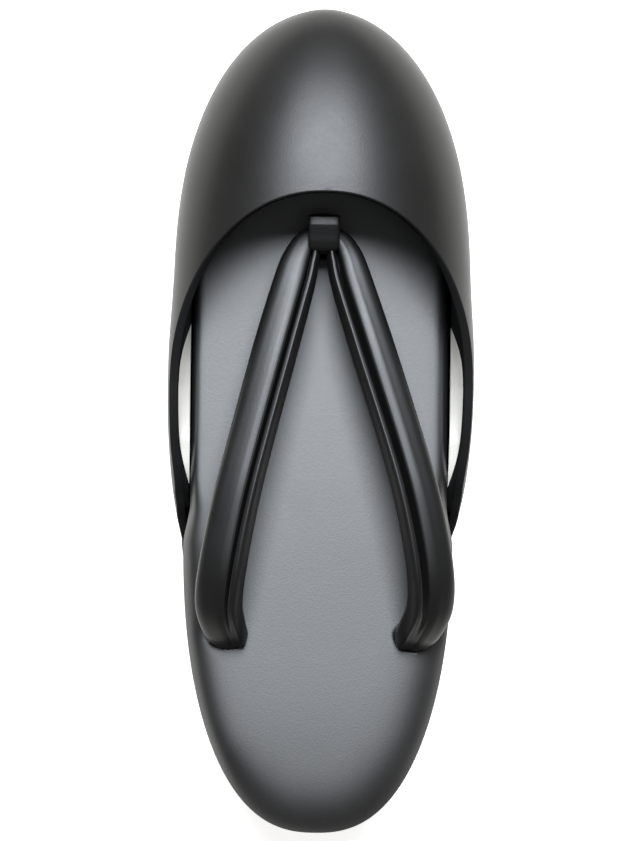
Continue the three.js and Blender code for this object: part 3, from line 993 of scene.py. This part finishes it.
# %% Stations of the strap
# Station, spread from the middle line, lean to the right, height, width, thickness, dip of the outer edge
STRAP = np.array([
    (178.0, -0.6, 0.15, 42.2, 4.8, 5.0, 0.0),
    (174.4, 4.3, 0.0, 43.0, 8.2, 6.0, 0.0),
    (170.0, 6.4, 0.0, 44.0, 10.8, 6.6, 0.0),
    (162.5, 8.5, 0.0, 45.8, 12.4, 7.0, 2.0),
    (143.0, 14.3, 0.5, 50.3, 13.3, 7.0, 7.0),
    (116.0, 22.1, 1.4, 54.3, 13.4, 7.0, 11.0),
    (98.0, 26.8, 1.8, 56.0, 13.8, 7.0, 14.0),
    (80.0, 30.2, 1.9, 55.4, 14.2, 7.0, 18.0),
    (68.5, 31.0, 1.6, 51.4, 14.2, 7.4, 18.0),
    (61.4, 29.0, 1.2, 45.8, 13.0, 8.0, 8.0),
    (58.5, 27.2, 1.1, 40.3, 11.0, 8.0, 0.0),
    (57.7, 26.4, 1.1, 34.4, 9.5, 7.5, 0.0),
])
BAND_STEPS = 190


def smooth_rows(table, steps):
    """Rows of a table with smooth ones between them."""
    rows = np.column_stack([np.arange(len(table)), table])
    return np.array([smooth_table(rows, at) for at in np.linspace(0.0, len(table) - 1.0, steps + 1)])


def capped_tube(rings):
    """Points and faces of a swept section with both ends closed."""
    steps, count = rings.shape[:2]
    faces = ring_faces(steps, count)
    for first in (0, (steps - 1) * count):
        faces.append(tuple(range(first, first + count)))
    return rings.reshape(-1, 3), faces


print("the strap arches up to %.1f mm" % smooth_rows(STRAP, BAND_STEPS)[:, 3].max())

# %% Make the bands
# Stations between which the groove closes, and the part of the section that is then raised to a height
CLOSE_RANGE = (61.0, 82.0)
FILL_ACROSS, FILL_ABOVE, FILL_HEIGHT = (-0.75, -0.05), -0.6, 0.92


def make_band(side):
    station, spread, lean, height, width, thick, dip = smooth_rows(STRAP, BAND_STEPS).T
    centre = np.column_stack([side * spread + lean, station, height])
    run = unit_rows(np.gradient(centre, axis=0))
    across = unit_rows(np.array([side, 0.0, 0.0]) - run * (run[:, :1] * side))
    upright = np.cross(run, across) * side
    dip = np.radians(dip)[:, None]
    outward = across * np.cos(dip) - upright * np.sin(dip)
    upward = upright * np.cos(dip) + across * np.sin(dip)
    s, u = band_profile(side)
    in_groove = (u > FILL_ABOVE) & (s > FILL_ACROSS[0]) & (s < FILL_ACROSS[1])
    filled = np.where(in_groove, np.maximum(u, FILL_HEIGHT), u)
    closing = 1.0 - smoothstep(*CLOSE_RANGE, station)[:, None]
    s = s * width[:, None] / 2.0
    u = (u + (filled - u) * closing) * thick[:, None] / 2.0
    return capped_tube(
        centre[:, None, :] + outward[:, None, :] * s[:, :, None] + upward[:, None, :] * u[:, :, None])


def fused(name, bands, material):
    """Both bands as one piece, fused where they cross."""
    first = piece_from(name, *bands[0], material)
    second = piece_from(name + "_other", *bands[1], material)
    fuse = first.modifiers.new("fuse", "BOOLEAN")
    fuse.operation = "UNION"
    fuse.object = second
    apply_modifiers(first)
    first.data.shade_smooth()
    bpy.data.objects.remove(second)
    return first


strap_bands = fused("strap_bands", [make_band(RIGHT), make_band(LEFT)], strap_leather)
print("strap_bands fused: %d faces" % len(strap_bands.data.polygons))

# %% [markdown]
# ## Toe loop
# A strip of leatherette comes up out of the front hole, goes over the joined bands and back down. A bent
# plane with a Solidify modifier would have the same width all along, but the strip is a little narrower
# in the hole, so it is a flat section swept along a teardrop in the middle plane.

# %% Shape of the loop
# Station and height along the strip, and its width
LOOP = np.array([
    (177.6, 25.5, 7.6),
    (178.9, 30.0, 8.0),
    (181.2, 37.0, 8.6),
    (181.85, 43.0, 9.0),
    (181.95, 46.8, 9.2),
    (181.9, 48.0, 9.2),
    (181.6, 48.5, 9.2),
    (181.0, 48.58, 9.2),
    (180.4, 48.66, 9.2),
    (179.8, 48.74, 9.2),
    (179.2, 48.7, 9.2),
    (176.8, 48.05, 9.2),
    (174.3, 47.3, 9.0),
    (172.4, 46.0, 8.2),
    (171.8, 42.6, 7.4),
    (172.4, 37.0, 7.6),
    (173.2, 31.0, 7.8),
    (173.8, 25.5, 7.6),
])
STRIP_THICK, STRIP_POWERS = 1.3, (0.35, 0.8)
LOOP_STEPS, STRIP_ROUND = 168, 40


def make_loop():
    station, height, width = smooth_rows(LOOP, LOOP_STEPS).T
    centre = np.column_stack([np.zeros(len(station)), station, height])
    run = unit_rows(np.gradient(centre, axis=0))
    out = np.cross(np.array([1.0, 0.0, 0.0]), run)
    angle = np.linspace(0.0, 2.0 * np.pi, STRIP_ROUND, endpoint=False)
    across = signed_power(np.cos(angle), STRIP_POWERS[0])
    through = signed_power(np.sin(angle), STRIP_POWERS[1])
    rings = centre[:, None, :] + out[:, None, :] * (through[None, :, None] * STRIP_THICK / 2.0)
    rings[:, :, 0] += across * width[:, None] / 2.0
    return piece_from("toe_loop", *capped_tube(rings), strap_leather)


toe_loop = make_loop()

# %% [markdown]
# ## Floor and light
# The picture has a white ground and one broad soft light above and beyond the toe, which the satin footbed
# mirrors as a grey sheen that fades towards its rolled edges. A weak second light behind the heel keeps
# that end from going black. The room beside the lights is dim, so slopes that face sideways stay dark, and
# the steep sides of the cover pick up the pale floor as a bright rim. The floor glows for the camera
# alone, so that it is white without lighting the shoe from below.

# %% Floor
FLOOR_SIZE = 6.0
FLOOR_COLOUR, FLOOR_GLOW = (0.88, 0.84, 0.77, 1), 0.8
BLACK, WHITE = (0, 0, 0, 1), (1, 1, 1, 1)


def pale_floor():
    finish = Finish("pale_floor")
    seen = finish.add("ShaderNodeLightPath", {}, {})("Is Camera Ray")
    finish.surface(
        Base_Color=FLOOR_COLOUR, Roughness=0.9, Specular_IOR_Level=0.2,
        Emission_Color=finish.mix(seen, BLACK, WHITE), Emission_Strength=FLOOR_GLOW)
    mesh = bpy.data.meshes.new("floor")
    edge = FLOOR_SIZE / 2.0
    corners = [(-edge, -edge, 0), (edge, -edge, 0), (edge, edge, 0), (-edge, edge, 0)]
    mesh.from_pydata(corners, [], [(0, 1, 2, 3)])
    mesh.materials.append(finish.material)
    return in_scene("floor", mesh)


floor = pale_floor()
print("floor %.0f m wide" % FLOOR_SIZE)

# %% Lights and room
LIGHT_COLOUR = (0.88, 0.93, 1.0)
ROOM_COLOUR, ROOM_STRENGTH = (0.97, 0.93, 0.85, 1), 0.12

# Place, width and length in metres, and watts of each light
LIGHTS = {
    "overhead": ((0.02, 1.03, 1.70), (1.0, 1.06), 113.0),
    "fill": ((0.02, -0.25, 1.70), (1.0, 0.5), 1.8),
}


def soft_light(name, place, size, power):
    """A rectangle of light that faces straight down."""
    data = bpy.data.lights.new(name, "AREA")
    data.shape = "RECTANGLE"
    data.size, data.size_y = size
    data.energy = power
    data.color = LIGHT_COLOUR
    in_scene(name, data).location = place


for light, settings in LIGHTS.items():
    soft_light(light, *settings)
room = bpy.data.worlds.new("room")
room.use_nodes = True
room_light = room.node_tree.nodes["Background"]
room_light.inputs["Color"].default_value = ROOM_COLOUR
room_light.inputs["Strength"].default_value = ROOM_STRENGTH
bpy.context.scene.world = room
bpy.context.scene.view_settings.view_transform = "Standard"
print("lights:", ", ".join(LIGHTS))

# %% [markdown]
# ## Hand the pieces to the frame
# Every piece rides on the one body of the shoe, and most stand for the solid that they were drawn from.
# The tread, the lining and the hem have no solid of their own.

# %% Ride and replace
PIECES = [
    (footbed_pad, "footbed", "footbed_skin"),
    (sole_wrap, "sole", "sole_wrap"),
    (outsole_sheet, "outsole", "rubber"),
    (tread_bars, None, "rubber"),
    (toe_cover_skin, "toe_cover", "cover_leather"),
    (toe_cover_lining, None, "cover_leather"),
    (toe_cover_hem_and_shade, None, "cover_leather"),
    (strap_bands, "strap", "strap_leather"),
    (toe_loop, "toe_post", "strap_leather"),
]
for piece, node, finish_slot in PIECES:
    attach(piece, "root")
    if node:
        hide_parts(node)
